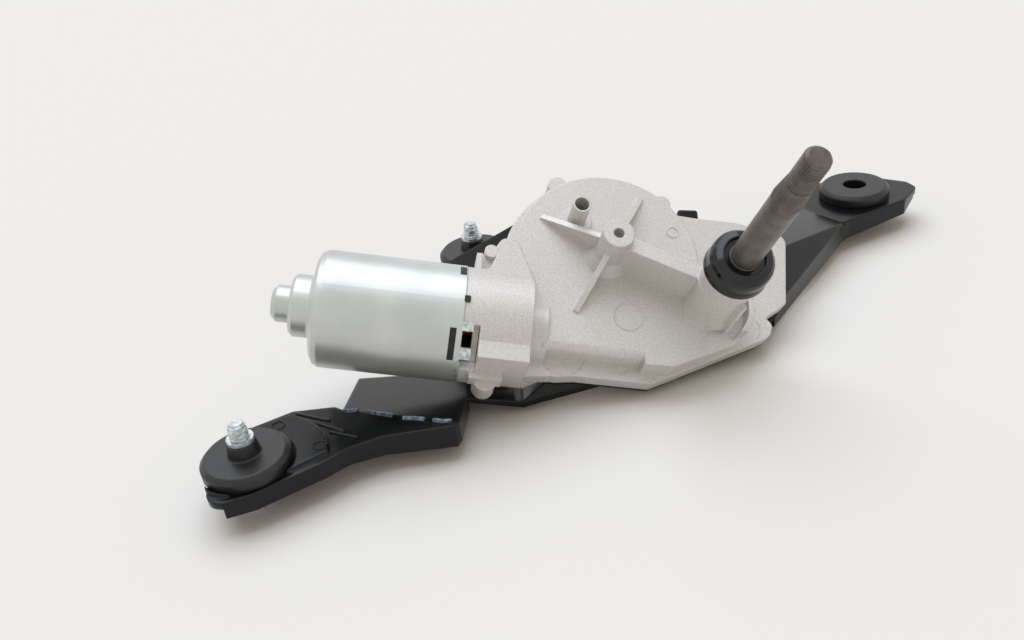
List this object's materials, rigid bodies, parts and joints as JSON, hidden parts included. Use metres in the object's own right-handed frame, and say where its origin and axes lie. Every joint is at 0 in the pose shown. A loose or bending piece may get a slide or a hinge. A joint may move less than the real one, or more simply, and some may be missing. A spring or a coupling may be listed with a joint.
{
  "type": "wiper motor",
  "caption": "Rear wiper motor: cylindrical motor, cast worm gearbox with a tilted output shaft, and a three-legged bracket on rubber grommets.",
  "frame": {"origin": "centre of the output shaft where it leaves its seal", "axes": "+Z square to the plane of the three grommets, +X along the motor from can to gearbox as seen from above"},
  "size_m": [0.2881, 0.1883, 0.1037],
  "materials": {
    "cast_aluminium": "sand-cast grain, satin",
    "zinc_steel": "zinc-plated, satin",
    "black_steel": "black coated, gloss",
    "rubber": "moulded, satin",
    "shaft_steel": "turned, dull brown-grey",
    "seal": "moulded, gloss",
    "bronze": "sintered, matt",
    "plain_steel": "ground",
    "gear_plastic": "moulded",
    "core_steel": "stacked sheets",
    "copper": "wound wire",
    "magnet": "ferrite, matt",
    "carbon": "pressed carbon",
    "white_plastic": "moulded",
    "black_plastic": "moulded"
  },
  "bodies": {
    "housing": {"bottom_cover": "black_steel", "brush_front": "carbon", "brush_plate": "white_plastic", "brush_rear": "carbon", "connector_pins": "bronze", "connector_socket": "black_plastic", "front_bearing": "bronze", "gear_housing": "cast_aluminium", "grommet_left": "rubber", "grommet_rear": "rubber", "grommet_right": "rubber", "leg_left": "black_steel", "leg_rear": "black_steel", "leg_right": "black_steel", "lower_bush": "bronze", "magnet_lower": "magnet", "magnet_upper": "magnet", "motor_can": "zinc_steel", "mount_stud_left": "zinc_steel", "mount_stud_rear": "zinc_steel", "mounting_bracket": "black_steel", "rear_bearing": "bronze", "shaft_seal_cap": "seal", "thrust_pad": "gear_plastic", "upper_bush": "bronze", "wheel_clip": "plain_steel", "wheel_pin": "plain_steel", "wheel_spacer": "gear_plastic"},
    "armature": {"armature_shaft": "plain_steel", "armature_core": "core_steel", "armature_windings": "copper", "commutator": "copper"},
    "worm_wheel": {"worm_wheel": "gear_plastic"},
    "output": {"output_shaft": "shaft_steel", "output_pinion": "plain_steel"},
    "rocker": {"rocker_plate_upper": "zinc_steel", "rocker_plate_lower": "zinc_steel"},
    "sector": {"sector_link": "plain_steel", "crank_pin": "plain_steel", "rocker_pin": "plain_steel"}
  },
  "joints": [
    {"name": "armature_spin", "type": "hinge", "parent": "housing", "child": "armature", "pos_m": [-0.04868, 0.01412, -0.03487], "axis": [0.9659, 0, -0.2588], "continuous": true},
    {"name": "worm_wheel_spin", "type": "hinge", "parent": "housing", "child": "worm_wheel", "pos_m": [-0.04439, 0.03743, -0.01886], "axis": [0.211, -0.5793, 0.7874], "continuous": true},
    {"name": "output_shaft_turn", "type": "hinge", "parent": "housing", "child": "output", "pos_m": [-0.00783, 0.02149, -0.02921], "axis": [0.211, -0.5793, 0.7874], "range_deg": [-125.63, 0]},
    {"name": "rocker_swing", "type": "hinge", "parent": "housing", "child": "rocker", "pos_m": [-0.0111, 0.03047, -0.04142], "axis": [0.211, -0.5793, 0.7874], "range_deg": [-49.84, 0]},
    {"name": "sector_swing", "type": "hinge", "parent": "rocker", "child": "sector", "pos_m": [-0.01561, 0.04722, -0.02788], "axis": [0.211, -0.5793, 0.7874], "range_deg": [0, 43.3]}
  ],
  "couplings": [
    {"joint": "worm_wheel_spin", "follows": "armature_spin", "ratio": -0.016667},
    {"joint": "rocker_swing", "follows": "output_shaft_turn", "ratio": 0.39675},
    {"joint": "sector_swing", "follows": "output_shaft_turn", "ratio": -0.34471}
  ]
}
